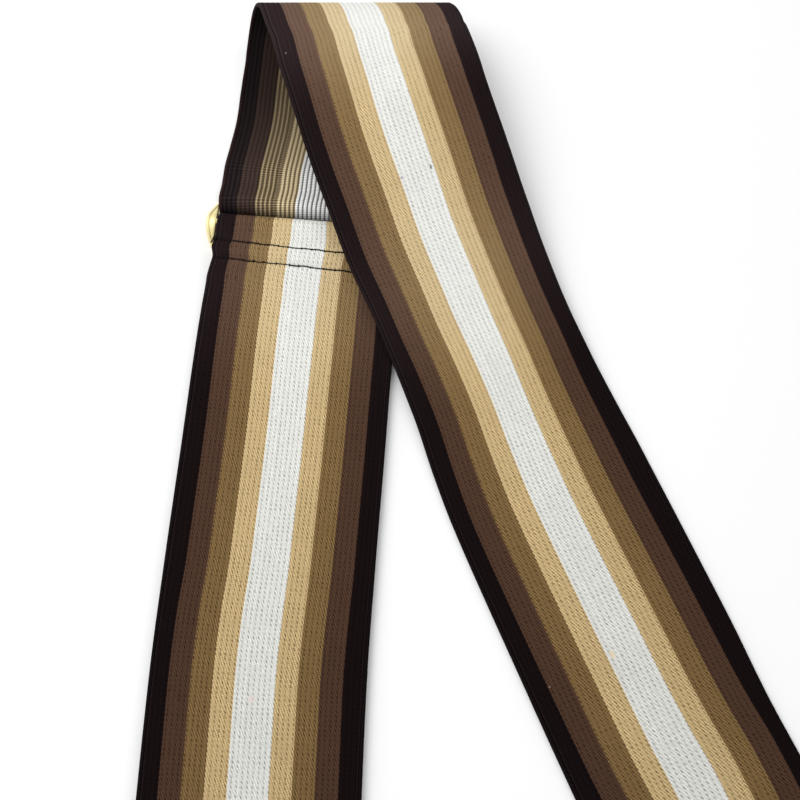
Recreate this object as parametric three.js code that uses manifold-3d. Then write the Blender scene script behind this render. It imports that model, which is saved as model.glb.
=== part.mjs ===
// A striped elastic web belt, unfastened and laid out flat. One long web is sewn round the
// middle bar of a gold slide, runs down the left leg, turns round the hook half of the clasp,
// comes back up under itself through the slide, folds over softly at the top and runs down
// the right leg to the loop half of the clasp. Millimetres, +Z up, the belt lies on Z = 0.

import * as THREE from 'three';
import { mergeVertices } from 'three/addons/utils/BufferGeometryUtils.js';
import Module from 'manifold-3d';

const wasm = await Module();
wasm.setup();

// Driving dimensions

const webThickness = 1.8;
const clearance = 0.3;
const barRadius = 1.2;
const metalThickness = 2 * barRadius;
const barSides = 16;
const barInset = 0.2;
const turnRadius = barRadius + clearance + webThickness / 2;

// The slide: three bars joined by two bowed cheeks, which arch over the lower web.
const slide = {
  x: -35.6,
  y: 68.6,
  turn: -4.9,
  halfLength: 41.3,
  halfHeight: 12.2,
  endBow: 6.5,
  slotHalfLength: 38.6,
  slotHalfHeight: 9.7,
  slotPinch: 1.5,
  barOffset: 10.9,
  arch: 4.7,
  bevel: 0.5,
};
slide.barHeight = barRadius + slide.arch;

// The two clasp halves, each turned with its leg and tipped down on to the surface.
const claspBarHeight = webThickness / 2 + turnRadius;
const clasp = {
  halfWidth: 42,
  armWidth: 3,
  armLength: 6.5,
  cornerRadius: 3,
  bevel: 0.4,
};
const hookHalf = { x: -52.6, y: -205, turn: -1.3, tilt: 3.6, plateLength: 11 };
const loopHalf = { x: 130.4, y: -205, turn: 24, tilt: 4.6, plateLength: 17 };
const tongue = { width: 36, length: 15, root: 2, thickness: 2, bend: 3, lip: 3.5 };
const slot = { width: 42, length: 7 };

// The soft fold at the top of the belt: a round turn whose axis lies along X.
const fold = { y: 151.8, radius: 12, startSlope: 0.1, endSlope: 0.36 };

// How far the two sewn hems run back from their bars, and how finely the web is stepped.
const slideHem = 18;
const claspHem = 20;
const stepLength = 5;
const fineStep = 2;
const fineReach = 34;
const turnSteps = 10;
const foldSteps = 20;

// Where the middle of the photographed scene lies in the belt's own frame.
const sceneMiddle = { x: -41.2, y: 38.9 };

// The left route, from the hook half up to the fold: where the web's middle runs, how far the
// line across it is turned from X, in degrees, and how wide it lies.
const leftRoute = [
  { y: -215, x: -52.8, turn: -1.3, width: 76.0 },
  { y: -205, x: -52.6, turn: -1.3, width: 76.0 },
  { y: -140, x: -50.9, turn: -1.8, width: 76.0 },
  { y: -100, x: -49.4, turn: -3.0, width: 76.0 },
  { y: -60, x: -46.7, turn: -4.2, width: 76.0 },
  { y: -20, x: -43.6, turn: -4.3, width: 76.0 },
  { y: 10, x: -41.4, turn: -4.2, width: 76.0 },
  { y: 31, x: -39.6, turn: -5.0, width: 76.0 },
  { y: 45, x: -37.9, turn: -6.0, width: 76.0 },
  { y: 49, x: -37.1, turn: -6.0, width: 75.2 },
  { y: 53, x: -36.5, turn: -5.8, width: 73.8 },
  { y: 56.5, x: -36.2, turn: -5.5, width: 75.0 },
  { y: 60.2, x: -35.9, turn: -5.1, width: 74.0 },
  { y: 64, x: -35.7, turn: -4.9, width: 74.6 },
  { y: 68.6, x: -35.6, turn: -4.9, width: 74.6 },
  { y: 76, x: -35.5, turn: -5.0, width: 74.8 },
  { y: 83, x: -35.0, turn: -6.0, width: 75.4 },
  { y: 93, x: -34.4, turn: -7.5, width: 75.6 },
  { y: 102, x: -32.9, turn: -9.0, width: 75.2 },
  { y: 111, x: -31.2, turn: -9.0, width: 75.2 },
  { y: 120, x: -29.9, turn: -7.0, width: 75.6 },
  { y: 130, x: -29.0, turn: -4.5, width: 76.0 },
  { y: 140, x: -28.2, turn: -2.5, width: 76.0 },
  { y: 151.8, x: -27.2, turn: 0.0, width: 76.4 },
];

// The right route, from the fold down to the loop half, with the height of the web's middle.
const rightRoute = [
  { y: 151.8, x: -14.9, turn: 0.0, width: 79.6, height: 24.9 },
  { y: 145, x: -12.3, turn: 4.0, width: 77.7, height: 25.2 },
  { y: 135, x: -9.3, turn: 8.0, width: 77.4, height: 25.1 },
  { y: 125, x: -6.1, turn: 11.5, width: 76.7, height: 24.6 },
  { y: 115, x: -3.1, turn: 14.3, width: 76.1, height: 23.7 },
  { y: 105, x: 0.1, turn: 16.5, width: 76.0, height: 22.3 },
  { y: 95, x: 3.6, turn: 18.3, width: 75.9, height: 20.3 },
  { y: 85, x: 7.3, turn: 19.7, width: 75.5, height: 18.0 },
  { y: 65, x: 14.6, turn: 21.5, width: 74.9, height: 12.8 },
  { y: 45, x: 23.0, turn: 21.9, width: 72.6, height: 8.0 },
  { y: 25, x: 31.0, turn: 22.1, width: 71.8, height: 4.9 },
  { y: 5, x: 39.2, turn: 22.2, width: 72.6, height: 2.8 },
  { y: -15, x: 47.1, turn: 22.5, width: 75.2, height: 1.2 },
  { y: -35, x: 55.4, turn: 22.8, width: 77.0, height: 0.9 },
  { y: -65, x: 68.4, turn: 23.4, width: 77.4, height: 0.9 },
  { y: -95, x: 81.5, turn: 23.6, width: 77.4, height: 0.9 },
  { y: -125, x: 94.3, turn: 23.9, width: 76.5, height: 0.9 },
  { y: -150, x: 105.9, turn: 24.0, width: 76.6, height: 0.9 },
  { y: -205, x: 130.4, turn: 24.0, width: 76.0, height: 0.9 },
  { y: -215, x: 134.8, turn: 24.0, width: 76.0, height: 0.9 },
];

// Heights of the web's three layers at the slide, by distance up the strap from its middle
// bar: the running layer, the sewn hem on it, and the front layer on both.
const slideRise = [
  { along: -30, running: 0.9, hem: 3.0, front: 3.0 },
  { along: -26, running: 0.9, hem: 3.0, front: 3.4 },
  { along: -22, running: 1.0, hem: 3.2, front: 4.6 },
  { along: -18, running: 1.6, hem: 3.8, front: 6.1 },
  { along: -14, running: 3.0, hem: 5.3, front: 7.6 },
  { along: -11, running: 3.9, hem: 6.1, front: 8.3 },
  { along: -9, running: 3.9, hem: 6.1, front: 8.3 },
  { along: -6, running: 2.7, hem: 5.1, front: 7.7 },
  { along: -3, running: 1.6, hem: 3.9, front: 8.0 },
  { along: 0, running: 1.4, hem: 3.5, front: 8.3 },
  { along: 3, running: 1.6, hem: 3.5, front: 8.3 },
  { along: 6, running: 3.4, hem: 3.5, front: 8.3 },
  { along: 9, running: 4.6, hem: 3.5, front: 8.3 },
  { along: 11, running: 4.4, hem: 3.5, front: 8.3 },
  { along: 14, running: 3.3, hem: 3.5, front: 8.3 },
  { along: 18, running: 1.6, hem: 3.5, front: 8.3 },
  { along: 24, running: 0.9, hem: 3.5, front: 8.3 },
];

// How far the two edges of the sewn end are drawn in at the slide, by distance up the strap
// from its middle bar.
const notDrawn = { left: 0, right: 0 };
const sewnDraw = [
  { along: -13, left: 0, right: 0 },
  { along: -8, left: 0.3, right: 0.2 },
  { along: -3, left: 0.6, right: 0.7 },
  { along: 0, left: 0.9, right: 0.8 },
  { along: 3, left: 1.3, right: 0.6 },
];

// The same for the running layer, which the slide's cheeks hold narrow as it passes.
const runningDraw = [
  { along: -8, left: 0, right: 0.1 },
  { along: -5, left: 0.3, right: 0.5 },
  { along: -3, left: 0.6, right: 0.7 },
  { along: 0, left: 0.8, right: 0.8 },
  { along: 3, left: 0.8, right: 0.6 },
  { along: 5, left: 0.65, right: 0.3 },
  { along: 8, left: 0.25, right: 0 },
  { along: 11, left: 0, right: 0 },
];

// Height of the upper layer over a clasp's bar, by distance up the leg from that bar.
const claspRise = [
  { along: 0, height: 5.7 },
  { along: 3, height: 5.4 },
  { along: 9, height: 3.6 },
  { along: 14, height: 3.0 },
  { along: 21, height: 3.0 },
  { along: 30, height: 0.9 },
];

// Small helpers

function radians(degrees) {
  return THREE.MathUtils.degToRad(degrees);
}

// The slope of one column at a row, flat where the column turns, so nothing overshoots.
function slopeAt(rows, key, column, i) {
  if (i === 0 || i === rows.length - 1) return 0;
  const before = (rows[i][column] - rows[i - 1][column]) / (rows[i][key] - rows[i - 1][key]);
  const after = (rows[i + 1][column] - rows[i][column]) / (rows[i + 1][key] - rows[i][key]);
  return before * after <= 0 ? 0 : (2 * before * after) / (before + after);
}

// A table's column read smoothly between its rows, which may rise or fall in their key.
function readTable(table, key, column, at) {
  const rising = table[0][key] < table[table.length - 1][key];
  const rows = rising ? table : [...table].reverse();
  const last = rows.length - 1;
  if (at <= rows[0][key]) return rows[0][column];
  if (at >= rows[last][key]) return rows[last][column];
  const i = rows.findIndex((row) => row[key] > at) - 1;
  const span = rows[i + 1][key] - rows[i][key];
  const t = (at - rows[i][key]) / span;
  const startSlope = slopeAt(rows, key, column, i) * span;
  const endSlope = slopeAt(rows, key, column, i + 1) * span;
  return hermite(rows[i][column], rows[i + 1][column], startSlope, endSlope, t);
}

function hermite(start, end, startSlope, endSlope, t) {
  const t2 = t * t;
  const t3 = t2 * t;
  return start * (2 * t3 - 3 * t2 + 1) + startSlope * (t3 - 2 * t2 + t)
    + end * (3 * t2 - 2 * t3) + endSlope * (t3 - t2);
}

function toSolid(geometry) {
  geometry.deleteAttribute('normal');
  geometry.deleteAttribute('uv');
  const merged = mergeVertices(geometry, 1e-4);
  const vertProperties = new Float32Array(merged.attributes.position.array);
  const triVerts = new Uint32Array(merged.index.array);
  return new wasm.Manifold(new wasm.Mesh({ numProp: 3, vertProperties, triVerts }));
}

function toGeometry(solid) {
  const mesh = solid.getMesh();
  const geometry = new THREE.BufferGeometry();
  geometry.setAttribute('position', new THREE.BufferAttribute(new Float32Array(mesh.vertProperties), 3));
  geometry.setIndex(new THREE.BufferAttribute(new Uint32Array(mesh.triVerts), 1));
  return geometry;
}

// The web

// One station of the web: its middle, the line across it and its width, less what its edges
// are drawn in.
function station(route, y, z, drawn = notDrawn) {
  const turn = radians(readTable(route, 'y', 'turn', y));
  const x = readTable(route, 'y', 'x', y) + (drawn.left - drawn.right) / 2;
  return {
    middle: new THREE.Vector3(x, y, z),
    across: new THREE.Vector3(Math.cos(turn), Math.sin(turn), 0),
    width: readTable(route, 'y', 'width', y) - drawn.left - drawn.right,
  };
}

// A stretch of web along a route between two places, at the height that heightAt gives.
function stretch(route, heightAt, from, to, drawnAt = () => notDrawn) {
  const stations = [];
  const direction = Math.sign(to - from);
  let y = from;
  while ((to - y) * direction > 0) {
    stations.push(station(route, y, heightAt(y), drawnAt(y)));
    y += direction * (isFine(y) ? fineStep : stepLength);
  }
  stations.push(station(route, to, heightAt(to), drawnAt(to)));
  return stations;
}

// The web is stepped finely by the slide and by the clasp's bars.
function isFine(y) {
  const nearSlide = Math.abs(y - slide.y) < fineReach;
  const nearClasp = y < hookHalf.y + fineReach;
  return nearSlide || nearClasp;
}

// The web's turn round a bar, from one angle to another, measured from the way up the strap.
function turnRound(route, y, z, fromDegrees, toDegrees, drawnAt = () => notDrawn) {
  const stations = [];
  const lean = Math.cos(radians(readTable(route, 'y', 'turn', y)));
  for (let i = 1; i < turnSteps; i += 1) {
    const angle = radians(THREE.MathUtils.lerp(fromDegrees, toDegrees, i / turnSteps));
    const here = y + turnRadius * lean * Math.cos(angle);
    stations.push(station(route, here, z + turnRadius * Math.sin(angle), drawnAt(here)));
  }
  return stations;
}

// The soft fold, which carries the web from the end of the left route to the right one.
function foldOver() {
  const start = station(leftRoute, fold.y, 0);
  const end = station(rightRoute, fold.y, 0);
  const arc = Math.PI * fold.radius;
  const middleHeight = webThickness / 2 + fold.radius;
  const stations = [];
  for (let i = 1; i < foldSteps; i += 1) {
    const t = i / foldSteps;
    const angle = Math.PI * (t - 0.5);
    const x = hermite(start.middle.x, end.middle.x, fold.startSlope * arc, fold.endSlope * arc, t);
    const y = fold.y + fold.radius * Math.cos(angle);
    const z = middleHeight + fold.radius * Math.sin(angle);
    stations.push({
      middle: new THREE.Vector3(x, y, z),
      across: new THREE.Vector3(1, 0, 0),
      width: THREE.MathUtils.lerp(start.width, end.width, t),
    });
  }
  return stations;
}

// A column of a table of the slide, read by where a place is up the strap.
function atSlide(table, column) {
  const lean = Math.cos(radians(slide.turn));
  return (y) => readTable(table, 'along', column, (y - slide.y) / lean);
}

// How far both edges are drawn in at a place, from a table of the slide.
function drawnIn(table) {
  const left = atSlide(table, 'left');
  const right = atSlide(table, 'right');
  return (y) => ({ left: left(y), right: right(y) });
}

function heightAtClasp(half, y) {
  return readTable(claspRise, 'along', 'height', (y - half.y) / Math.cos(radians(half.turn)));
}

function frontHeight(y) {
  return Math.max(atSlide(slideRise, 'front')(y), heightAtClasp(hookHalf, y));
}

function rightHeight(y) {
  return Math.max(readTable(rightRoute, 'y', 'height', y), heightAtClasp(loopHalf, y));
}

// The whole length of web, from the raw edge under the slide to the raw edge at the loop half.
function webStations() {
  const hemEnd = slide.y - slideHem;
  const claspHemEnd = loopHalf.y + claspHem * Math.cos(radians(loopHalf.turn));
  const onSurface = () => webThickness / 2;
  const sewnEnd = drawnIn(sewnDraw);
  return [
    ...stretch(leftRoute, atSlide(slideRise, 'hem'), hemEnd, slide.y, sewnEnd),
    ...turnRound(leftRoute, slide.y, slide.barHeight, -90, 90, sewnEnd),
    ...stretch(leftRoute, frontHeight, slide.y, hookHalf.y, sewnEnd),
    ...turnRound(leftRoute, hookHalf.y, claspBarHeight, 90, 270),
    ...stretch(leftRoute, atSlide(slideRise, 'running'), hookHalf.y, fold.y, drawnIn(runningDraw)),
    ...foldOver(),
    ...stretch(rightRoute, rightHeight, fold.y, loopHalf.y),
    ...turnRound(rightRoute, loopHalf.y, claspBarHeight, 90, 270),
    ...stretch(rightRoute, onSurface, loopHalf.y, claspHemEnd),
  ];
}

// The four corners of the web at a station, in turn round its section.
function sectionCorners(stations, i) {
  const { middle, across, width } = stations[i];
  const before = stations[Math.max(i - 1, 0)].middle;
  const after = stations[Math.min(i + 1, stations.length - 1)].middle;
  const along = new THREE.Vector3().subVectors(after, before);
  const outward = along.cross(across).normalize();
  const corner = (side, face) => middle.clone()
    .addScaledVector(across, (side * width) / 2)
    .addScaledVector(outward, (face * webThickness) / 2);
  return [corner(-1, 1), corner(1, 1), corner(1, -1), corner(-1, -1)];
}

function webGeometry() {
  const stations = webStations();
  const sides = 4;
  const points = stations.flatMap((_, i) => sectionCorners(stations, i));
  const index = [];
  for (let i = 0; i < stations.length - 1; i += 1) {
    for (let j = 0; j < sides; j += 1) {
      const a = i * sides + j;
      const b = i * sides + ((j + 1) % sides);
      index.push(a, a + sides, b + sides, a, b + sides, b);
    }
  }
  const end = (stations.length - 1) * sides;
  index.push(0, 1, 2, 0, 2, 3);
  index.push(end, end + 2, end + 1, end, end + 3, end + 2);
  const geometry = new THREE.BufferGeometry().setFromPoints(points);
  geometry.setIndex(index);
  return geometry;
}

// The slide

// A long outline with straight sides and bowed ends, wound anticlockwise.
function bowedOutline(path, halfLength, halfHeight, endBow) {
  const straight = halfLength - endBow;
  const quarter = Math.PI / 2;
  path.moveTo(-straight, -halfHeight);
  path.lineTo(straight, -halfHeight);
  path.absellipse(straight, 0, endBow, halfHeight, -quarter, quarter, false);
  path.lineTo(-straight, halfHeight);
  path.absellipse(-straight, 0, endBow, halfHeight, quarter, 3 * quarter, false);
  return path;
}

// The opening's outline, pinched at its ends, where the cheeks come close to the web's edges.
function pinchedOutline(path, halfLength, halfHeight, pinch) {
  const waist = halfLength - 2 * pinch;
  path.moveTo(-halfLength, -halfHeight);
  path.lineTo(halfLength, -halfHeight);
  path.quadraticCurveTo(waist, 0, halfLength, halfHeight);
  path.lineTo(-halfLength, halfHeight);
  path.quadraticCurveTo(-waist, 0, -halfLength, -halfHeight);
  return path;
}

// Raises the cheeks in the middle, so that the middle bar clears the web below it.
function archCheeks(geometry) {
  const position = geometry.attributes.position;
  for (let i = 0; i < position.count; i += 1) {
    const share = Math.min(Math.abs(position.getY(i)) / slide.barOffset, 1);
    position.setZ(i, position.getZ(i) + (slide.arch * (1 + Math.cos(Math.PI * share))) / 2);
  }
}

function roundBar(length, z) {
  const bar = new THREE.CylinderGeometry(barRadius, barRadius, length, barSides);
  bar.rotateZ(Math.PI / 2);
  bar.translate(0, 0, z);
  return bar;
}

// The frame while it is still flat: a plate with a bevelled rim, cut through by the opening.
function flatFrame() {
  const { bevel } = slide;
  const outline = bowedOutline(
    new THREE.Shape(), slide.halfLength - bevel, slide.halfHeight - bevel, slide.endBow - bevel,
  );
  const plate = new THREE.ExtrudeGeometry(outline, {
    depth: metalThickness - 2 * bevel,
    bevelThickness: bevel,
    bevelSize: bevel,
    bevelSegments: 2,
    curveSegments: 18,
  });
  plate.translate(0, 0, bevel);
  const opening = new THREE.ExtrudeGeometry(
    pinchedOutline(new THREE.Shape(), slide.slotHalfLength, slide.slotHalfHeight, slide.slotPinch),
    { depth: 2 * metalThickness, bevelEnabled: false, curveSegments: 18 },
  );
  opening.translate(0, 0, -metalThickness / 2);
  return toGeometry(toSolid(plate).subtract(toSolid(opening)));
}

function slideGeometry() {
  const frame = flatFrame();
  archCheeks(frame);
  const middleBar = roundBar(slide.halfLength + slide.slotHalfLength - 2 * barInset, slide.barHeight);
  return toGeometry(toSolid(frame).add(toSolid(middleBar)));
}

// The clasp halves

// A flat piece of the clasp, its thickness centred on the bar's axis.
function flatPiece(outline) {
  const { bevel } = clasp;
  const piece = new THREE.ExtrudeGeometry(outline, {
    depth: metalThickness - 2 * bevel,
    bevelThickness: bevel,
    bevelSize: bevel,
    bevelOffset: -bevel,
    bevelSegments: 2,
    curveSegments: 6,
  });
  piece.translate(0, 0, bevel - metalThickness / 2);
  return piece;
}

// The outline shared by both halves: two arms up to the bar and a plate with round corners.
function plateOutline(plateLength) {
  const { halfWidth, armWidth, armLength, cornerRadius } = clasp;
  const bottom = -armLength - plateLength;
  const top = barRadius;
  const cornerX = halfWidth - cornerRadius;
  const cornerY = bottom + cornerRadius;
  const outline = new THREE.Shape();
  outline.moveTo(-halfWidth, top);
  outline.lineTo(-halfWidth, cornerY);
  outline.absarc(-cornerX, cornerY, cornerRadius, Math.PI, 1.5 * Math.PI, false);
  outline.lineTo(cornerX, bottom);
  outline.absarc(cornerX, cornerY, cornerRadius, 1.5 * Math.PI, 2 * Math.PI, false);
  outline.lineTo(halfWidth, top);
  outline.lineTo(halfWidth - armWidth, top);
  outline.lineTo(halfWidth - armWidth, -armLength);
  outline.lineTo(-halfWidth + armWidth, -armLength);
  outline.lineTo(-halfWidth + armWidth, top);
  return outline;
}

// The tongue that hooks into the other half, seen from its side and drawn in (Y, Z).
function tongueGeometry() {
  const { thickness, bend, lip } = tongue;
  const plateEnd = -clasp.armLength - hookHalf.plateLength;
  const rootY = plateEnd + tongue.root;
  const tipY = plateEnd - tongue.length;
  const low = -barRadius;
  const side = new THREE.Shape();
  side.moveTo(rootY, low);
  side.lineTo(rootY, low + thickness);
  side.lineTo(tipY + bend, low + thickness);
  side.absarc(tipY + bend, low + bend, bend - thickness, 1.5 * Math.PI, Math.PI, true);
  side.lineTo(tipY + thickness, low + bend + lip);
  side.lineTo(tipY, low + bend + lip);
  side.lineTo(tipY, low + bend);
  side.absarc(tipY + bend, low + bend, bend, Math.PI, 1.5 * Math.PI, false);
  const geometry = new THREE.ExtrudeGeometry(side, {
    depth: tongue.width,
    bevelEnabled: false,
    curveSegments: 6,
  });
  geometry.rotateY(Math.PI / 2);
  geometry.rotateX(Math.PI / 2);
  geometry.translate(-tongue.width / 2, 0, 0);
  return geometry;
}

function hookGeometry() {
  const plate = toSolid(flatPiece(plateOutline(hookHalf.plateLength)));
  const bar = toSolid(roundBar(2 * clasp.halfWidth - clasp.armWidth, 0));
  return toGeometry(plate.add(bar).add(toSolid(tongueGeometry())));
}

// A slot with round ends, cut through the loop half's plate for the tongue.
function slotOutline() {
  const middle = -clasp.armLength - loopHalf.plateLength / 2;
  const radius = slot.length / 2;
  const straight = slot.width / 2 - radius;
  const quarter = Math.PI / 2;
  const path = new THREE.Path();
  path.moveTo(-straight, middle - radius);
  path.lineTo(straight, middle - radius);
  path.absarc(straight, middle, radius, -quarter, quarter, false);
  path.lineTo(-straight, middle + radius);
  path.absarc(-straight, middle, radius, quarter, 3 * quarter, false);
  return path;
}

function loopGeometry() {
  const outline = plateOutline(loopHalf.plateLength);
  outline.holes.push(slotOutline());
  const plate = toSolid(flatPiece(outline));
  const bar = toSolid(roundBar(2 * clasp.halfWidth - clasp.armWidth, 0));
  return toGeometry(plate.add(bar));
}

// Putting it together

const webMaterial = new THREE.MeshStandardMaterial({ color: 0x8f7352, roughness: 0.9, metalness: 0 });
const goldMaterial = new THREE.MeshStandardMaterial({ color: 0xe3c77c, roughness: 0.25, metalness: 1 });

function piece(name, geometry, material) {
  const mesh = new THREE.Mesh(geometry, material);
  mesh.name = name;
  return mesh;
}

function placeOnBar(mesh, place, height) {
  const seat = new THREE.Group();
  seat.position.set(place.x, place.y, height);
  seat.rotation.z = radians(place.turn);
  mesh.rotation.x = radians(place.tilt ?? 0);
  seat.add(mesh);
  return seat;
}

const belt = new THREE.Group();
belt.add(piece('webbing', webGeometry(), webMaterial));
belt.add(placeOnBar(piece('slide', slideGeometry(), goldMaterial), slide, 0));
belt.add(placeOnBar(piece('clasp_hook', hookGeometry(), goldMaterial), hookHalf, claspBarHeight));
belt.add(placeOnBar(piece('clasp_loop', loopGeometry(), goldMaterial), loopHalf, claspBarHeight));
belt.position.set(sceneMiddle.x, sceneMiddle.y, 0);

export default belt;
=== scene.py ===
"""A striped elastic web belt with a gold slide, unfastened and laid out with a soft fold at its top."""

import math
import random

import bpy
import numpy as np
from mathutils import Matrix, Vector


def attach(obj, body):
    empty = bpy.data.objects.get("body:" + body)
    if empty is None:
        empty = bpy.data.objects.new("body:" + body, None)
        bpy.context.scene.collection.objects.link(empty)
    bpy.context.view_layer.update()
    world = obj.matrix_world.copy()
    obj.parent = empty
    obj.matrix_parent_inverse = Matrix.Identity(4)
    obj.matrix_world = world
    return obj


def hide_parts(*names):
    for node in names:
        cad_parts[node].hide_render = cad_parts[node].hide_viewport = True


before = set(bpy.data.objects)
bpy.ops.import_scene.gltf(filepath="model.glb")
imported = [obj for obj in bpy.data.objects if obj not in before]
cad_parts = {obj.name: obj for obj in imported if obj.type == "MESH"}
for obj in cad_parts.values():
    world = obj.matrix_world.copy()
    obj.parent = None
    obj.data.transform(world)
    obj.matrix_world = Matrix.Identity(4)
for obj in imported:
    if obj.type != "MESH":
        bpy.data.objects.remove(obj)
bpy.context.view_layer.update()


# The viewpoint: a camera above the middle of the belt, leaning a little towards its loose ends, so that
# both ends of the belt run out of the picture at the bottom and the fold lies along its top edge.

view_target = Vector((-0.0412, 0.0389, 0.0))
view_distance = 0.343
view_tilt = math.radians(15.4)
lens_length = 40.5
sensor_width = 36.0


def new_object(name, data):
    """A new object in the scene."""
    thing = bpy.data.objects.new(name, data)
    bpy.context.scene.collection.objects.link(thing)
    return thing


camera_data = bpy.data.cameras.new("viewpoint")
camera_data.lens = lens_length
camera_data.sensor_width = sensor_width
camera_data.clip_start = 0.01
camera_data.clip_end = 20.0
camera = new_object("viewpoint", camera_data)
camera.location = view_target + view_distance * Vector((0.0, -math.sin(view_tilt), math.cos(view_tilt)))
camera.rotation_euler = (view_tilt, 0.0, 0.0)
bpy.context.scene.camera = camera
bpy.context.scene.view_settings.view_transform = "Standard"


# The surface that the belt lies on and the light round it: a plain white studio sweep in an even white
# surround, with one large soft light beyond the fold on the left, so that the light fades down the legs.

floor_half_size = 3.0
floor_drop = 0.00005
floor_colour = (0.97, 0.97, 0.97, 1.0)
floor_roughness = 0.9
floor_grain = dict(scale=40.0, detail=3.0, darkest=0.985)
surround_colour = (1.0, 1.0, 1.0, 1.0)
surround_strength = 0.74
soft_lights = {
    "light_beyond_fold": dict(place=(-0.40, 0.24, 0.62), size=0.5, power=2.5),
    "light_front_right": dict(place=(0.9, -0.6, 1.1), size=0.9, power=1.2),
}


class Varying:
    """A number or colour that changes over the surface. A sum written with it becomes nodes."""

    def __init__(self, socket):
        self.socket = socket

    def __add__(self, other):
        return calc("ADD", self, other)

    def __sub__(self, other):
        return calc("SUBTRACT", self, other)

    def __rsub__(self, other):
        return calc("SUBTRACT", other, self)

    def __mul__(self, other):
        return calc("MULTIPLY", self, other)

    def __truediv__(self, other):
        return calc("DIVIDE", self, other)

    def __pow__(self, power):
        return calc("POWER", self, power)

    __radd__ = __add__
    __rmul__ = __mul__


def tree_of(*values):
    """The node tree that the first varying value belongs to."""
    return next(value.socket.id_data for value in values if isinstance(value, Varying))


def feed(socket, value):
    """Gives a socket a value, or joins it to what varies."""
    if isinstance(value, Varying):
        socket.id_data.links.new(value.socket, socket)
    else:
        socket.default_value = value


def add_node(tree, kind, output, inputs=(), **settings):
    """One output of a new shader node, with the node's settings, and its inputs by name."""
    node = tree.nodes.new("ShaderNode" + kind)
    for name, value in settings.items():
        setattr(node, name, value)
    for name, value in dict(inputs).items():
        feed(node.inputs[name], value)
    return Varying(node.outputs[output])


def calc(operation, *values):
    """The result of a sum on numbers that change over the surface."""
    return add_node(tree_of(*values), "Math", 0, enumerate(values), operation=operation)


def spread(value, start, end, low=0.0, high=1.0, way="LINEAR"):
    """A number carried from one range over to another, and held at its ends."""
    ends = {"Value": value, "From Min": start, "From Max": end, "To Min": low, "To Max": high}
    return add_node(tree_of(value), "MapRange", "Result", ends, interpolation_type=way)


def blend_colours(share, first, second, way="MIX"):
    """One colour over another, by a share from 0 to 1."""
    sides = {"Factor": share, "A": first, "B": second}
    return add_node(tree_of(share, first, second), "Mix", "Result", sides, data_type="RGBA", blend_type=way)


def new_material(name, **shader_values):
    """A material with one shader, whose steady values are set on the shader's own sockets."""
    material = bpy.data.materials.new(name)
    material.use_nodes = True
    shader = material.node_tree.nodes["Principled BSDF"]
    for socket, value in shader_values.items():
        shader.inputs[socket.replace("_", " ")].default_value = value
    return material, material.node_tree, shader


floor_mesh = bpy.data.meshes.new("floor")
floor_corners = [(x * floor_half_size, y * floor_half_size, -floor_drop)
                 for x, y in ((-1, -1), (1, -1), (1, 1), (-1, 1))]
floor_mesh.from_pydata(floor_corners, [], [(0, 1, 2, 3)])
floor = new_object("floor", floor_mesh)
floor_material, floor_tree, floor_shader = new_material("studio_floor", Roughness=floor_roughness)
floor_noise = add_node(floor_tree, "TexNoise", "Fac",
                       {"Scale": floor_grain["scale"], "Detail": floor_grain["detail"]})
floor_shade = spread(floor_noise, 0.0, 1.0, floor_grain["darkest"], 1.0)
feed(floor_shader.inputs["Base Color"], blend_colours(1.0, floor_colour, floor_shade, "MULTIPLY"))
floor_mesh.materials.append(floor_material)

world = bpy.data.worlds.new("surround")
world.use_nodes = True
surround = world.node_tree.nodes["Background"].inputs
surround["Color"].default_value = surround_colour
surround["Strength"].default_value = surround_strength
bpy.context.scene.world = world

for light_name, facts in soft_lights.items():
    light_data = bpy.data.lights.new(light_name, "AREA")
    light_data.size = facts["size"]
    light_data.energy = facts["power"]
    light = new_object(light_name, light_data)
    light.location = facts["place"]
    light.rotation_mode = "QUATERNION"
    light.rotation_quaternion = (view_target - light.location).to_track_quat("-Z", "Y")
    light.visible_camera = False


# The web: one length of thick elastic, woven with 42 ribs along it and striped in dark brown, brown,
# olive, tan and white. It is sewn round the slide's middle bar, runs down to the hook half of the clasp,
# turns round its bar, comes back up under itself, folds over and runs down to the loop half.

web_width = 0.076
web_thickness = 0.0018
rib_count = 42
rib_pitch = web_width / rib_count
rib_offset = 0.25
rib_shoulder = 0.3
shoulder_depth = 0.12
face_rib_depth = 0.00010
back_rib_depths = dict(dark=0.00010, brown=0.00010, olive=0.00026, tan=0.00026, white=0.00026)
selvedge_width = 0.0022
selvedge_groove = ((0.00125, 0.0), (0.00150, 0.00030), (0.00175, 0.0), (0.00205, 0.0))
edge_points = 5

scene_middle = Vector((-0.0412, 0.0389, 0.0))
clearance = 0.0003
bar_radius = 0.0012
turn_radius = bar_radius + clearance + web_thickness / 2
slide_bar = dict(x=-0.0356, y=0.0686, turn=-4.9, height=0.0059)
hook_bar = dict(x=-0.0526, y=-0.205, turn=-1.3, height=web_thickness / 2 + turn_radius)
loop_bar = dict(x=0.1304, y=-0.205, turn=24.0, height=web_thickness / 2 + turn_radius)
fold = dict(y=0.1518, radius=0.012, start_slope=0.1, end_slope=0.36)
slide_hem = 0.018
sewn_zone = 0.023
clasp_hem = 0.020
bar_zone = 0.034
web_steps = dict(straight=0.006, curved=0.0035, fine=0.002, sewn=0.0009)
turn_steps = 12
fold_steps = 30


def table(columns, *rows):
    """Rows with named columns."""
    return [dict(zip(columns.split(), row)) for row in rows]


def mm_table(columns, *rows):
    """Rows of lengths in millimetres with named columns, as metres. A turn stays in degrees."""
    return [{name: value if name == "turn" else value / 1000 for name, value in row.items()}
            for row in table(columns, *rows)]


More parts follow.
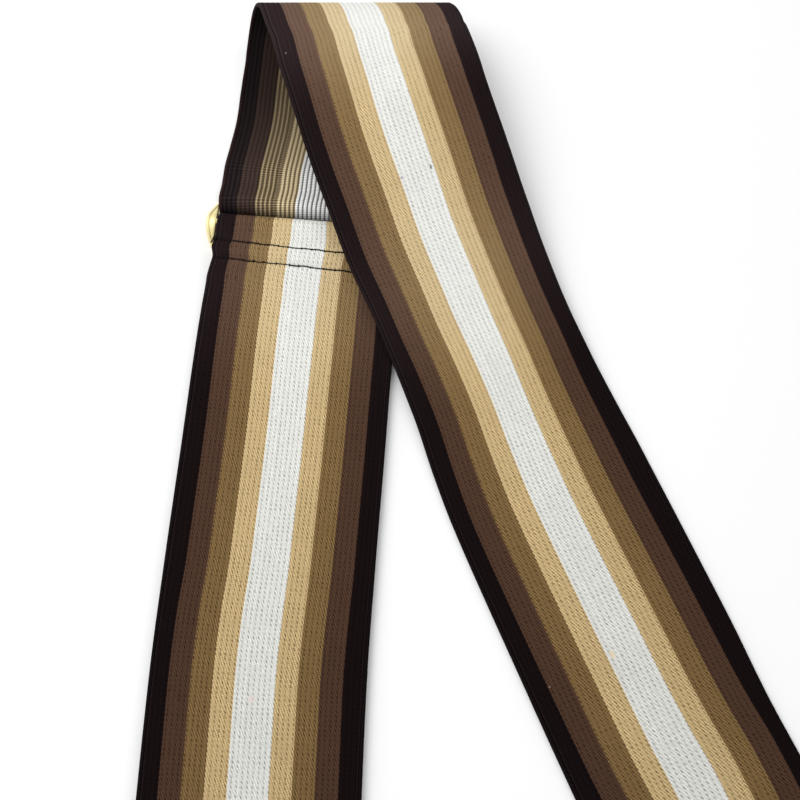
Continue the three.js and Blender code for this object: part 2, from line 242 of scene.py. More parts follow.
left_route = mm_table(
    "y x turn width",
    (-215, -52.8, -1.3, 76), (-205, -52.6, -1.3, 76), (-140, -50.9, -1.8, 76), (-100, -49.4, -3, 76),
    (-60, -46.7, -4.2, 76), (-20, -43.6, -4.3, 76), (10, -41.4, -4.2, 76), (31, -39.6, -5, 76),
    (45, -37.9, -6, 76), (49, -37.1, -6, 75.2), (53, -36.5, -5.8, 73.8), (56.5, -36.2, -5.5, 75),
    (60.2, -35.9, -5.1, 74), (64, -35.7, -4.9, 74.6), (68.6, -35.6, -4.9, 74.6), (76, -35.5, -5, 74.8),
    (83, -35, -6, 75.4), (93, -34.4, -7.5, 75.6), (102, -32.9, -9, 75.2), (111, -31.2, -9, 75.2),
    (120, -29.9, -7, 75.6), (130, -29, -4.5, 76), (140, -28.2, -2.5, 76), (151.8, -27.2, 0, 76.4))
right_route = mm_table(
    "y x turn width height",
    (151.8, -14.9, 0, 79.6, 24.9), (145, -12.3, 4, 77.7, 25.2), (135, -9.3, 8, 77.4, 25.1),
    (125, -6.1, 11.5, 76.7, 24.6), (115, -3.1, 14.3, 76.1, 23.7), (105, 0.1, 16.5, 76, 22.3),
    (95, 3.6, 18.3, 75.9, 20.3), (85, 7.3, 19.7, 75.5, 18), (65, 14.6, 21.5, 74.9, 12.8),
    (45, 23, 21.9, 72.6, 8), (25, 31, 22.1, 71.8, 4.9), (5, 39.2, 22.2, 72.6, 2.8),
    (-15, 47.1, 22.5, 75.2, 1.2), (-35, 55.4, 22.8, 77, 0.9), (-65, 68.4, 23.4, 77.4, 0.9),
    (-95, 81.5, 23.6, 77.4, 0.9), (-125, 94.3, 23.9, 76.5, 0.9), (-150, 105.9, 24, 76.6, 0.9),
    (-205, 130.4, 24, 76, 0.9), (-215, 134.8, 24, 76, 0.9))
slide_rise = mm_table(
    "along running hem front",
    (-30, 0.9, 3, 3), (-26, 0.9, 3, 3.4), (-22, 1, 3.2, 4.6), (-18, 1.6, 3.8, 6.1), (-14, 3, 5.3, 7.6),
    (-11, 3.9, 6.1, 8.3), (-9, 3.9, 6.1, 8.3), (-6, 2.7, 5.1, 7.7), (-3, 1.6, 3.9, 8), (0, 1.4, 3.5, 8.3),
    (3, 1.6, 3.5, 8.3), (6, 3.4, 3.5, 8.3), (9, 4.6, 3.5, 8.3), (11, 4.4, 3.5, 8.3), (14, 3.3, 3.5, 8.3),
    (18, 1.6, 3.5, 8.3), (24, 0.9, 3.5, 8.3))
sewn_draw = mm_table("along left right", (-13, 0, 0), (-8, 0.3, 0.2), (-3, 0.6, 0.7), (0, 0.9, 0.8),
                     (3, 1.3, 0.6))
running_draw = mm_table("along left right", (-8, 0, 0.1), (-5, 0.3, 0.5), (-3, 0.6, 0.7), (0, 0.8, 0.8),
                        (3, 0.8, 0.6), (5, 0.65, 0.3), (8, 0.25, 0), (11, 0, 0))
clasp_rise = mm_table("along height", (0, 5.7), (3, 5.4), (9, 3.6), (14, 3), (21, 3), (30, 0.9))


def slope_at(rows, key, column, i):
    """A column's slope at a row, flat where the column turns, so that nothing overshoots."""
    if i in (0, len(rows) - 1):
        return 0.0
    before = (rows[i][column] - rows[i - 1][column]) / (rows[i][key] - rows[i - 1][key])
    after = (rows[i + 1][column] - rows[i][column]) / (rows[i + 1][key] - rows[i][key])
    return 0.0 if before * after <= 0 else 2 * before * after / (before + after)


def hermite(start, end, start_slope, end_slope, t):
    """A smooth way from one value to another, with its slope at both ends."""
    return (start * (2 * t**3 - 3 * t**2 + 1) + start_slope * (t**3 - 2 * t**2 + t)
            + end * (3 * t**2 - 2 * t**3) + end_slope * (t**3 - t**2))


def read_table(rows, key, column, at):
    """A table's column read smoothly between its rows."""
    rows = sorted(rows, key=lambda row: row[key])
    if at <= rows[0][key]:
        return rows[0][column]
    if at >= rows[-1][key]:
        return rows[-1][column]
    i = max(j for j in range(len(rows) - 1) if rows[j][key] <= at)
    span = rows[i + 1][key] - rows[i][key]
    return hermite(rows[i][column], rows[i + 1][column], slope_at(rows, key, column, i) * span,
                   slope_at(rows, key, column, i + 1) * span, (at - rows[i][key]) / span)


def station(route, y, z, drawn=(0.0, 0.0)):
    """One section of the web: its middle, the line across it, and its width less what is drawn in."""
    turn = math.radians(read_table(route, "y", "turn", y))
    left, right = drawn
    return dict(middle=Vector((read_table(route, "y", "x", y) + (left - right) / 2, y, z)),
                across=Vector((math.cos(turn), math.sin(turn), 0.0)),
                width=read_table(route, "y", "width", y) - left - right)


def step_at(y, sewn):
    """How finely the web is stepped: finest at the sewn rows, coarsest where it lies straight."""
    if sewn and slide_bar["y"] - sewn_zone < y:
        return web_steps["sewn"]
    if abs(y - slide_bar["y"]) < bar_zone or y < hook_bar["y"] + bar_zone:
        return web_steps["fine"]
    return web_steps["curved"] if y > 0.0 else web_steps["straight"]


def not_drawn(y):
    """No drawing in of the web's two edges."""
    return 0.0, 0.0


def stretch(route, height_at, start, end, drawn_at=not_drawn, sewn=False):
    """A stretch of web along a route."""
    direction = math.copysign(1.0, end - start)
    sections = []
    y = start
    while (end - y) * direction > 0:
        sections.append(station(route, y, height_at(y), drawn_at(y)))
        y += direction * step_at(y, sewn)
    return sections + [station(route, end, height_at(end), drawn_at(end))]


def turn_round(route, bar, start, end, drawn_at=not_drawn):
    """The web's turn round a bar, between two angles measured from the way up the strap."""
    lean = math.cos(math.radians(bar["turn"]))
    sections = []
    for i in range(1, turn_steps):
        angle = math.radians(start + (end - start) * i / turn_steps)
        y = bar["y"] + turn_radius * lean * math.cos(angle)
        sections.append(station(route, y, bar["height"] + turn_radius * math.sin(angle), drawn_at(y)))
    return sections


def fold_over():
    """The soft fold, a round turn whose axis lies along X."""
    start, end = station(left_route, fold["y"], 0.0), station(right_route, fold["y"], 0.0)
    arc = math.pi * fold["radius"]
    sections = []
    for i in range(1, fold_steps):
        t = i / fold_steps
        angle = math.pi * (t - 0.5)
        x = hermite(start["middle"].x, end["middle"].x, fold["start_slope"] * arc, fold["end_slope"] * arc, t)
        middle = Vector((x, fold["y"] + fold["radius"] * math.cos(angle),
                         web_thickness / 2 + fold["radius"] * (1 + math.sin(angle))))
        sections.append(dict(middle=middle, across=Vector((1.0, 0.0, 0.0)),
                             width=start["width"] + (end["width"] - start["width"]) * t))
    return sections


def along_bar(bar, rows, column):
    """A column of a table, read by how far up the strap from a bar a place is."""
    lean = math.cos(math.radians(bar["turn"]))
    return lambda y: read_table(rows, "along", column, (y - bar["y"]) / lean)


def drawn_in(rows):
    """How far the web's two edges are drawn in near the slide."""
    left, right = along_bar(slide_bar, rows, "left"), along_bar(slide_bar, rows, "right")
    return lambda y: (left(y), right(y))


sewn_end = drawn_in(sewn_draw)
hem_height, front_height, running_height = (along_bar(slide_bar, slide_rise, layer)
                                            for layer in ("hem", "front", "running"))
hook_height, loop_height = (along_bar(bar, clasp_rise, "height") for bar in (hook_bar, loop_bar))
loop_hem_end = loop_bar["y"] + clasp_hem * math.cos(math.radians(loop_bar["turn"]))
web_layers = dict(
    slide_hem=stretch(left_route, hem_height, slide_bar["y"] - slide_hem, slide_bar["y"], sewn_end, sewn=True),
    slide_turn=turn_round(left_route, slide_bar, -90, 90, sewn_end),
    front=stretch(left_route, lambda y: max(front_height(y), hook_height(y)), slide_bar["y"], hook_bar["y"],
                  sewn_end, sewn=True),
    hook_turn=turn_round(left_route, hook_bar, 90, 270),
    running=stretch(left_route, running_height, hook_bar["y"], fold["y"], drawn_in(running_draw)),
    fold=fold_over(),
    right=stretch(right_route, lambda y: max(read_table(right_route, "y", "height", y), loop_height(y)),
                  fold["y"], loop_bar["y"]),
    loop_turn=turn_round(right_route, loop_bar, 90, 270),
    loop_hem=stretch(right_route, lambda y: web_thickness / 2, loop_bar["y"], loop_hem_end),
)
web_sections = [section for layer in web_layers.values() for section in layer]
layer_start = dict(zip(web_layers, np.cumsum([0] + [len(layer) for layer in web_layers.values()])))

middles = np.array([section["middle"] + scene_middle for section in web_sections])
acrosses = np.array([section["across"] for section in web_sections])
widths = np.array([section["width"] for section in web_sections])
runs = np.vstack([middles[1:2] - middles[:1], middles[2:] - middles[:-2], middles[-1:] - middles[-2:-1]])
runs /= np.linalg.norm(runs, axis=1)[:, None]
outwards = np.cross(runs, acrosses)
outwards /= np.linalg.norm(outwards, axis=1)[:, None]
arc_lengths = np.concatenate([[0.0], np.cumsum(np.linalg.norm(np.diff(middles, axis=0), axis=1))])
web_length = float(arc_lengths[-1])
skews = (acrosses * runs).sum(1)


def arc_at(layer, share=0.0):
    """How far along the web a place in one of its layers is, by its share of that layer's sections."""
    i = layer_start[layer] + share * (len(web_layers[layer]) - 1)
    return float(np.interp(i, np.arange(len(arc_lengths)), arc_lengths))


def on_web(arc, across, lift):
    """A point on the web: how far along it, across from its middle, and out of its middle layer."""
    at, side, out = (np.array([np.interp(arc, arc_lengths, column) for column in facts.T])
                     for facts in (middles, acrosses, outwards))
    return at + side * across + out * lift


# How far the weave is drawn out: it is stretched by 7 % where the right leg was pulled.
row_stretch = table("share stretch", (0.0, 1.0), (0.58, 1.0), (0.64, 1.07), (1.0, 1.07))
stretch_here = np.array([read_table(row_stretch, "share", "stretch", arc / web_length) for arc in arc_lengths])
weave_along = np.concatenate([[0.0], np.cumsum(np.diff(arc_lengths) / stretch_here[1:])])

# How far the stripes wander across the web as it lies, in its left half and in its right half, while both
# its edges keep their places. They crowd to the right edge low on the right leg, where that edge turns down.
stripe_drift = dict(
    running=mm_table(
        "y left right",
        (0, 0, 0), (68, 0.4, 0.4), (90, 0.9, 0.9), (120, 0.8, 0.8), (151.8, 0.4, 0.4)),
    front=mm_table(
        "y left right",
        (-205, 0, 0), (-121.4, -0.5, -0.3), (-101.8, -0.7, -0.5), (-81.6, -0.5, -0.2), (-60.7, 0.4, 0.3),
        (-11, 0.6, 0.4), (18.8, 0.2, 0.4), (39.3, -0.1, -0.1), (51, -0.7, -0.4), (58, -0.3, 0.2),
        (68.6, 0.1, 0.4)),
    right=mm_table(
        "y left right",
        (-205, 0, 0), (-134.1, 0.6, 2.1), (-121.4, 0.1, 1.2), (-101.7, -0.2, 0.1), (-81.3, -0.5, -0.2),
        (-38.5, -0.7, -0.8), (-19.7, -0.2, -0.5), (-0.6, 0.3, -0.2), (18.6, 0.1, 0.3), (38, -0.6, 0),
        (69.5, -0.4, -0.2), (106.3, -0.2, 0.3), (133, 0.5, 0.1), (151.8, 0.9, 1)),
)
drift_reach = (0.0, 0.1, 0.4, 0.6, 0.9, 1.0)
drifts = np.zeros((len(web_sections), 2))
for layer, rows in stripe_drift.items():
    for i in range(layer_start[layer], layer_start[layer] + len(web_layers[layer])):
        drifts[i] = [read_table(rows, "y", side, web_sections[i]["middle"].y) for side in ("left", "right")]
fold_shares = np.arange(1, fold_steps)[:, None] / fold_steps
fold_start, fold_end = layer_start["fold"] - 1, layer_start["right"]
drifts[fold_start + 1:fold_end] = drifts[fold_start] + (drifts[fold_end] - drifts[fold_start]) * fold_shares


def drift_at(i, places):
    """How far a section's yarns lie from their even places across the web."""
    left, right = drifts[i]
    return np.interp(places, drift_reach, (0.0, left, left, right, right, 0.0))


def cloth_place(arc, across):
    """Where in the weave a point of the laid web is: its share of the width, and how far along the weave."""
    i = int(np.argmin(np.abs(arc_lengths - arc)))
    place = 0.5 + across / widths[i]
    return place - float(drift_at(i, place)) / widths[i], float(np.interp(arc, arc_lengths, weave_along))


# The rows of stitches hold the sewn hems, and draw the web down along a shallow crease. The rows at the
# slide slant down to the right.
sewn_rows = table("layer beyond slant", ("front", 0.0103, 1.7), ("front", 0.0171, 0.9),
                  ("loop_turn", -0.0070, 0.0), ("loop_turn", -0.0135, 0.0))
sewn_arcs = [(arc_at(row["layer"]) + row["beyond"], math.radians(row["slant"])) for row in sewn_rows]
crease = dict(depth=0.00045, reach=0.0008, swell=0.00012, swell_at=0.0021, swell_reach=0.0011)

# The yarns across the web, from one edge to the other, and the share of the width where each ends on its
# face and on its back, where the brown ends one rib sooner.
stripes = table(
    "yarn face_end back_end",
    ("selvedge", 0.0160, 0.0160), ("groove", 0.0225, 0.0225), ("thread", 0.0252, 0.0252),
    ("dark", 0.1000, 0.0880), ("brown", 0.2000, 0.1865), ("olive", 0.3030, 0.3030), ("tan", 0.4030, 0.4030),
    ("white", 0.5865, 0.5900), ("tan", 0.6905, 0.6905), ("olive", 0.7920, 0.8090), ("brown", 0.8960, 0.9010),
    ("dark", 0.9748, 0.9748), ("thread", 0.9775, 0.9775), ("groove", 0.9840, 0.9840), ("selvedge", 1.0, 1.0),
)


def back_yarn_at(place):
    """The yarn at a place across the back."""
    return next(stripe["yarn"] for stripe in stripes if place <= stripe["back_end"])


def rib_section(depth_at):
    """The ribs across one face: for each point, its place from 0 to 1 across and how deep it lies."""
    points = []
    for rib in range(rib_count + 1):
        for share, low in ((0.0, 1.0), (rib_shoulder, shoulder_depth), (1.0 - rib_shoulder, shoulder_depth)):
            place = (rib + share - rib_offset) / rib_count
            if min(place, 1.0 - place) * web_width > selvedge_width:
                points.append((place, low * depth_at(place)))
    for from_edge, depth in selvedge_groove:
        points += [(from_edge / web_width, depth), (1.0 - from_edge / web_width, depth)]
    return np.array(sorted(points)).T


def edge_section(side):
    """The rounded edge, from the face to the back: places across and heights out of the middle layer."""
    angles = np.linspace(0.5, -0.5, edge_points) * math.pi
    radius = web_thickness / 2
    from_middle = 0.5 * web_width - radius + np.cos(angles) * radius
    return 0.5 + side * from_middle / web_width, np.sin(angles) * radius


face_places, face_depths = rib_section(lambda place: face_rib_depth)
back_places, back_depths = rib_section(lambda place: back_rib_depths.get(back_yarn_at(place), 0.0))
right_edge_places, right_edge_lifts = edge_section(1.0)
left_edge_places, left_edge_lifts = edge_section(-1.0)
ring_places = np.concatenate([face_places, right_edge_places, back_places[::-1], left_edge_places[::-1]])
ring_lifts = np.concatenate([np.full(len(face_places), web_thickness / 2), right_edge_lifts,
                             np.full(len(back_places), -web_thickness / 2), left_edge_lifts[::-1]])
ring_sinks = np.concatenate([-face_depths, np.zeros(edge_points), back_depths[::-1], np.zeros(edge_points)])
face_end = len(face_places)
back_start = face_end + edge_points
back_end = back_start + len(back_places)
on_face = np.zeros(len(ring_places))
on_face[:face_end] = 1.0

ring_across = (ring_places - 0.5)[None, :] * widths[:, None]
ring_across += np.array([drift_at(i, ring_places) for i in range(len(widths))])
creases = np.zeros(ring_across.shape)
for sewn_arc, slant in sewn_arcs:
    from_row = arc_lengths[:, None] - sewn_arc - ring_across * math.tan(slant)
    from_swell = (np.abs(from_row) - crease["swell_at"]) / crease["swell_reach"]
    creases -= crease["depth"] * np.exp(-((from_row / crease["reach"]) ** 2))
    creases += crease["swell"] * np.exp(-(from_swell ** 2))
ring_out = (ring_lifts + ring_sinks)[None, :] + creases * on_face[None, :]
web_points = (middles[:, None, :] + acrosses[:, None, :] * ring_across[:, :, None]
              + outwards[:, None, :] * ring_out[:, :, None])
weave_u = np.broadcast_to(ring_places[None, :] * web_width, ring_across.shape)
weave_v = weave_along[:, None] + ring_across * skews[:, None] / stretch_here[:, None]

section_count, ring_count = ring_across.shape
first = np.arange(section_count - 1)[:, None] * ring_count
second = first + ring_count
here = np.arange(ring_count)[None, :]
after = (here + 1) % ring_count
web_quads = np.stack([first + here, second + here, second + after, first + after], axis=-1)
web_faces = web_quads.reshape(-1, 4).tolist()
start_ring = list(range(ring_count))
end_ring = [(section_count - 1) * ring_count + j for j in reversed(range(ring_count))]
web_mesh = bpy.data.meshes.new("web_strap")
web_mesh.from_pydata(web_points.reshape(-1, 3).tolist(), [], web_faces + [start_ring, end_ring])

on_back = (here >= back_start - 2) & (here < back_end + 1)
quad_slots = np.broadcast_to(on_back, (section_count - 1, ring_count)).astype(int).ravel()
web_mesh.polygons.foreach_set("material_index", np.concatenate([quad_slots, [2, 2]]))
web_mesh.polygons.foreach_set("use_smooth", [True] * len(web_faces) + [False, False])
corner_vertices = np.zeros(len(web_mesh.loops), int)
web_mesh.loops.foreach_get("vertex_index", corner_vertices)
weave_places = np.stack([weave_u, weave_v], axis=-1).reshape(-1, 2)
weave_map = web_mesh.uv_layers.new(name="weave")
weave_map.uv.foreach_set("vector", weave_places[corner_vertices].astype(np.float32).ravel())

# The facts of the cloth that change along it: how far the fold pulls its weave shut; painted light fall-off on
# the face, which is painted lighter over the fold and darker low on the legs, and painted shade low on the
# legs; painted shade on the back, darkest under the fold, and a painted shadow just above the sewn end; and
# how smooth the back is, where the fold pulls it.
pull_reach = 0.0264
pull_steepness = 6
# Painted light: the face's colour is lightened over the fold and darkened low on the legs, where the light
# fades, with painted shade there too.
face_facts = table(
    "below density dullness",
    (0.0, -0.14, 0.0), (0.015, -0.14, 0.0), (0.055, 0.06, 0.0), (0.085, 0.04, 0.0), (0.112, -0.01, 0.0),
    (0.169, 0.15, 0.03), (0.271, 0.17, 0.10), (0.36, 0.17, 0.14))
# Painted shade on the back: darkest under the fold, where the fold keeps the light off, and a painted shadow
# band just above the sewn end's top edge.
back_facts = table(
    "below dullness smoothness",
    (0.03, 0.42, 1.0), (0.041, 0.31, 1.0), (0.056, 0.15, 0.9), (0.064, 0.06, 0.6), (0.072, 0.0, 0.1),
    (0.0862, 0.0, 0.0), (0.0885, 0.45, 0.0), (0.0905, 0.85, 0.0))
from_fold = arc_lengths - arc_at("fold", 0.5)
below_fold = fold["y"] + fold["radius"] + scene_middle.y - middles[:, 1]


def facts_below(rows, column):
    """A column of facts at each section, by how far it lies below the fold."""
    return np.array([read_table(rows, "below", column, below) for below in below_fold])


cloth_facts = dict(
    pull=np.exp(-np.abs(from_fold / pull_reach) ** pull_steepness),
    painted_light_falloff=facts_below(face_facts, "density"),
    face_painted_shade=facts_below(face_facts, "dullness"),
    back_painted_shade=facts_below(back_facts, "dullness"),
    back_smoothness=facts_below(back_facts, "smoothness"),
)
for fact_name, values in cloth_facts.items():
    fact = web_mesh.attributes.new(fact_name, "FLOAT", "POINT")
    fact.data.foreach_set("value", np.repeat(values, ring_count).astype(np.float32))
web = new_object("web_strap", web_mesh)
print("web", round(web_length, 4), "m,", section_count, "sections,", 2 * len(web_faces), "triangles")

# The colours of the yarns on each side, and of the gaps between them, which are partly the cross yarn and
# partly painted shade in the furrows, in steps from 0 to 255, and how much of each stripe's back is rib and
# how clear the hatch on its face is.
face_yarns = dict(selvedge=(36, 27, 28), groove=(10, 7, 8), thread=(50, 41, 42), dark=(34, 24, 25),
                  brown=(92, 70, 57), olive=(137, 113, 77), tan=(206, 183, 140), white=(230, 230, 225))
face_gaps_and_shade = dict(selvedge=(20, 15, 16), groove=(8, 6, 7), thread=(26, 20, 21), dark=(20, 14, 15),
                 brown=(54, 38, 31), olive=(78, 60, 40), tan=(126, 102, 70), white=(156, 157, 153))
back_yarns = dict(selvedge=(48, 33, 32), groove=(11, 8, 9), thread=(36, 28, 29), dark=(40, 32, 33),
                  brown=(69, 55, 49), olive=(170, 150, 118), tan=(214, 193, 155), white=(243, 244, 241))
back_gaps_and_shade = dict(selvedge=(20, 15, 16), groove=(8, 6, 7), thread=(20, 15, 16), dark=(25, 20, 21),
                 brown=(52, 41, 36), olive=(73, 61, 43), tan=(92, 79, 55), white=(91, 94, 93))
back_rib_shares = dict(selvedge=1.0, groove=1.0, thread=0.6, dark=0.6, brown=0.6, olive=0.42, tan=0.56,
                       white=0.63)
hatch_shares = dict(selvedge=0.3, groove=0.0, thread=0.3, dark=0.5, brown=0.8, olive=1.0, tan=0.85, white=0.4)


def linear(colour):
    """A colour given in the usual 0 to 255 steps, as light."""
    shares = [part / 255 for part in colour]
    return [s / 12.92 if s <= 0.04045 else ((s + 0.055) / 1.055) ** 2.4 for s in shares] + [1.0]


def by_stripe(place, values, end="face_end"):
    """Each stripe's own colour or share, from the left edge of one side of the web to its right one."""
    ramp = tree_of(place).nodes.new("ShaderNodeValToRGB")
    ramp.color_ramp.interpolation = "CONSTANT"
    steps = ramp.color_ramp.elements
    start = 0.0
    for i, stripe in enumerate(stripes):
        value = values[stripe["yarn"]]
        step = steps[i] if i < 2 else steps.new(start)
        step.position = start
        step.color = linear(value) if isinstance(value, tuple) else (value, value, value, 1.0)
        start = stripe[end]
    feed(ramp.inputs["Fac"], place)
    return Varying(ramp.outputs["Color"])


def group_sockets(group, inputs, outputs):
    """What a node group is given and what it feeds, by name, and by kind or a number's usual value."""
    for name, usual in inputs.items():
        kind = usual if isinstance(usual, str) else "Float"
        socket = group.interface.new_socket(name, in_out="INPUT", socket_type="NodeSocket" + kind)
        if kind == "Float":
            socket.default_value = usual
    for name, kind in outputs.items():
        group.interface.new_socket(name, in_out="OUTPUT", socket_type="NodeSocket" + kind)
    given_sockets = group.nodes.new("NodeGroupInput").outputs
    made_sockets = group.nodes.new("NodeGroupOutput").inputs
    return {socket.name: Varying(socket) for socket in given_sockets}, made_sockets


def use_group(tree, group, **inputs):
    """What a node group makes when it is placed in a material with its own values."""
    node = tree.nodes.new("ShaderNodeGroup")
    node.node_tree = group
    for name, value in inputs.items():
        feed(node.inputs[name.replace("_", " ")], value)
    return {socket.name: Varying(socket) for socket in node.outputs}


def noise(place, scale, detail=2.0):
    """Soft random lightness, from 0 to 1."""
    return add_node(tree_of(place), "TexNoise", "Fac", {"Vector": place, "Scale": scale, "Detail": detail})


# The weave, shared by both sides: ribs along the web with furrows between them, and in each furrow a
# column of leaning dashes, one to a row, where the cross threads dip. No two dashes are as deep.
weave_group = bpy.data.node_groups.new("ribbed_weave", "ShaderNodeTree")
given, made = group_sockets(
    weave_group,
    {"Ribs Across": 0.0, "Rows Along": 0.0, "Lean": 0.4, "Shift": 0.2, "Dash Width": 0.12,
     "Dash Length": 0.33, "Blur": 0.5, "Unevenness": 0.7},
    {"Dash": "Float", "Rib": "Float", "From Furrow": "Float", "Column Tone": "Float"},
)
furrow = calc("ROUND", given["Ribs Across"])
from_furrow = given["Ribs Across"] - furrow
column_tone = add_node(weave_group, "TexWhiteNoise", "Value", {"W": furrow}, noise_dimensions="1D")
row_place = given["Rows Along"] + column_tone * given["Shift"]
from_row = calc("FRACT", row_place) - 0.5
across_dash = (from_furrow - from_row * given["Lean"]) / given["Dash Width"]
along_dash = from_row / given["Dash Length"]
dash_distance = calc("SQRT", across_dash ** 2 + along_dash ** 2)
dash = spread(dash_distance, 1.0 - given["Blur"], 1.0 + given["Blur"], 1.0, 0.0, "SMOOTHSTEP")
cell = add_node(weave_group, "CombineXYZ", "Vector", {"X": furrow, "Y": calc("FLOOR", row_place)})
cell_tone = add_node(weave_group, "TexWhiteNoise", "Value", {"Vector": cell}, noise_dimensions="3D")
dash_depth = 1.0 - given["Unevenness"] + cell_tone * given["Unevenness"]
feed(made["Dash"], dash * dash_depth)
feed(made["Rib"], 0.5 - 0.5 * calc("COSINE", from_furrow * (2 * math.pi)))
feed(made["From Furrow"], calc("ABSOLUTE", from_furrow))
feed(made["Column Tone"], column_tone)

# Fibres: the fine uneven lightness of spun yarn, and the slower change along and across the web.
slower_changes = table("scale share", (800.0, 0.7), (60.0, 0.3))
fibre_group = bpy.data.node_groups.new("yarn_fibres", "ShaderNodeTree")
given, made = group_sockets(fibre_group, {"Place": "Vector", "Fineness": 2600.0, "Amount": 0.3},
                            {"Shade": "Float", "Height": "Float"})
fibre_noise = noise(given["Place"], given["Fineness"])
fibre_shade = fibre_noise - 0.5
for change in slower_changes:
    fibre_shade += (noise(given["Place"], change["scale"]) - 0.5) * change["share"]
feed(made["Shade"], 1.0 + fibre_shade * given["Amount"])
feed(made["Height"], fibre_noise)

# A mark on the cloth: a soft spot of another colour, by where it is along and across the web.
mark_full, mark_gone = 0.4, 1.2
mark_group = bpy.data.node_groups.new("cloth_mark", "ShaderNodeTree")
given, made = group_sockets(
    mark_group,
    {"Color": "Color", "Place": "Vector", "Middle": "Vector", "Reach": "Vector", "Tint": "Color",
     "Strength": 0.5},
    {"Color": "Color"},
)
from_mark = add_node(mark_group, "VectorMath", "Vector", {0: given["Place"], 1: given["Middle"]},
                     operation="SUBTRACT")
from_mark = add_node(mark_group, "VectorMath", "Vector", {0: from_mark, 1: given["Reach"]},
                     operation="DIVIDE")
mark_distance = add_node(mark_group, "VectorMath", "Value", {0: from_mark}, operation="LENGTH")
mark_amount = spread(mark_distance, mark_full, mark_gone, 1.0, 0.0, "SMOOTHSTEP") * given["Strength"]
feed(made["Color"], blend_colours(mark_amount, given["Color"], given["Tint"]))


def weave_place(tree):
    """Where a point of the cloth is, as one place and as its two parts across and along the web."""
    place = add_node(tree, "UVMap", "UV", uv_map="weave")
    return place, *(add_node(tree, "SeparateXYZ", part, {"Vector": place}) for part in "XY")


def cloth_fact(tree, name):
    """A fact that is kept with the cloth's own points."""
    return add_node(tree, "Attribute", "Fac", attribute_name=name, attribute_type="GEOMETRY")


def scaled_colour(colour, shade):
    """A colour made lighter or darker by a shade round 1."""
    grey = add_node(tree_of(shade), "CombineColor", "Color", {"Red": shade, "Green": shade, "Blue": shade})
    return blend_colours(1.0, colour, grey, "MULTIPLY")


def with_painted_falloff(colour):
    """The colour with painted light fall-off: lighter over the fold and darker low on the legs."""
    tree = tree_of(colour)
    power = cloth_fact(tree, "painted_light_falloff") + 1.0
    return add_node(tree, "Gamma", "Color", {"Color": colour, "Gamma": power})


def wave(value, turns=1.0):
    """A wave from 0 to 1 that comes round so many times for each step of a value."""
    return 0.5 + 0.5 * calc("COSINE", value * (turns * 2 * math.pi))


def shade_of(value, contrast):
    """A shade round 1 that follows a value from 0 to 1."""
    return value * contrast + (1.0 - contrast / 2)


def bumped(height, strength, distance):
    """The way that a relief turns the light."""
    return add_node(tree_of(height), "Bump", "Normal",
                    {"Strength": strength, "Distance": distance, "Height": height})


row_length = 0.00157
cloth_finish = dict(Roughness=0.85, Specular_IOR_Level=0.03)
cloth_bump = 0.7

# The face: smooth ribs with a column of dashes in each furrow, which the fold pulls shut into cords, under a
# fine slanting hatch of cross threads that is clearer in some patches than in others.
face_weave = dict(cross_threads=3, cross_slant=0.33, cross_contrast=0.06, furrow=0.09, furrow_power=3.0,
                  furrow_pulled=0.36, furrow_power_pulled=1.5, column_contrast=0.05, edge_waver=0.0020,
                  unevenness=0.6, fibres=0.46)
face_relief = dict(rib=0.3, cross=0.1, dash=0.6, fibre=0.15, depth=0.00015)
hatch_turns = dict(line_across=1.9, line_along=-0.75, tick_across=0.7, tick_along=1.9)
hatch_tone = dict(strength=0.80, middle=0.36, tick_share=0.55)
hatch_patches = dict(scale=170.0, start=0.38, end=0.62, faintest=0.3, clearest=1.3)

face_material, face_tree, face_shader = new_material("web_face", **cloth_finish)
face_place, face_across, face_along = weave_place(face_tree)
face_ribs = face_across * (1.0 / rib_pitch) + rib_offset
face_rows = face_along / row_length
face_pattern = use_group(face_tree, weave_group, Ribs_Across=face_ribs, Rows_Along=face_rows,
                         Unevenness=face_weave["unevenness"])
face_fibres = use_group(face_tree, fibre_group, Place=face_place, Amount=face_weave["fibres"])
face_stripe = face_across * (1.0 / web_width) + (wave(face_rows) - 0.5) * face_weave["edge_waver"]

face_pull = cloth_fact(face_tree, "pull")
not_pulled = 1.0 - face_pull
dashes = face_pattern["Dash"] * not_pulled
# Painted shade in the furrows between the ribs, narrow on the legs and broad and soft over the fold, blended
# with the dashes towards the gap colours, which are partly the cross yarn.
in_furrow = 1.0 - face_pattern["Rib"]
narrow_furrow_shade = in_furrow ** face_weave["furrow_power"] * face_weave["furrow"]
broad_furrow_shade = in_furrow ** face_weave["furrow_power_pulled"] * face_weave["furrow_pulled"]
dash_and_furrow_shade = calc("MAXIMUM", dashes, narrow_furrow_shade * not_pulled + broad_furrow_shade * face_pull)
face_colour = blend_colours(dash_and_furrow_shade, by_stripe(face_stripe, face_yarns),
                            by_stripe(face_stripe, face_gaps_and_shade))

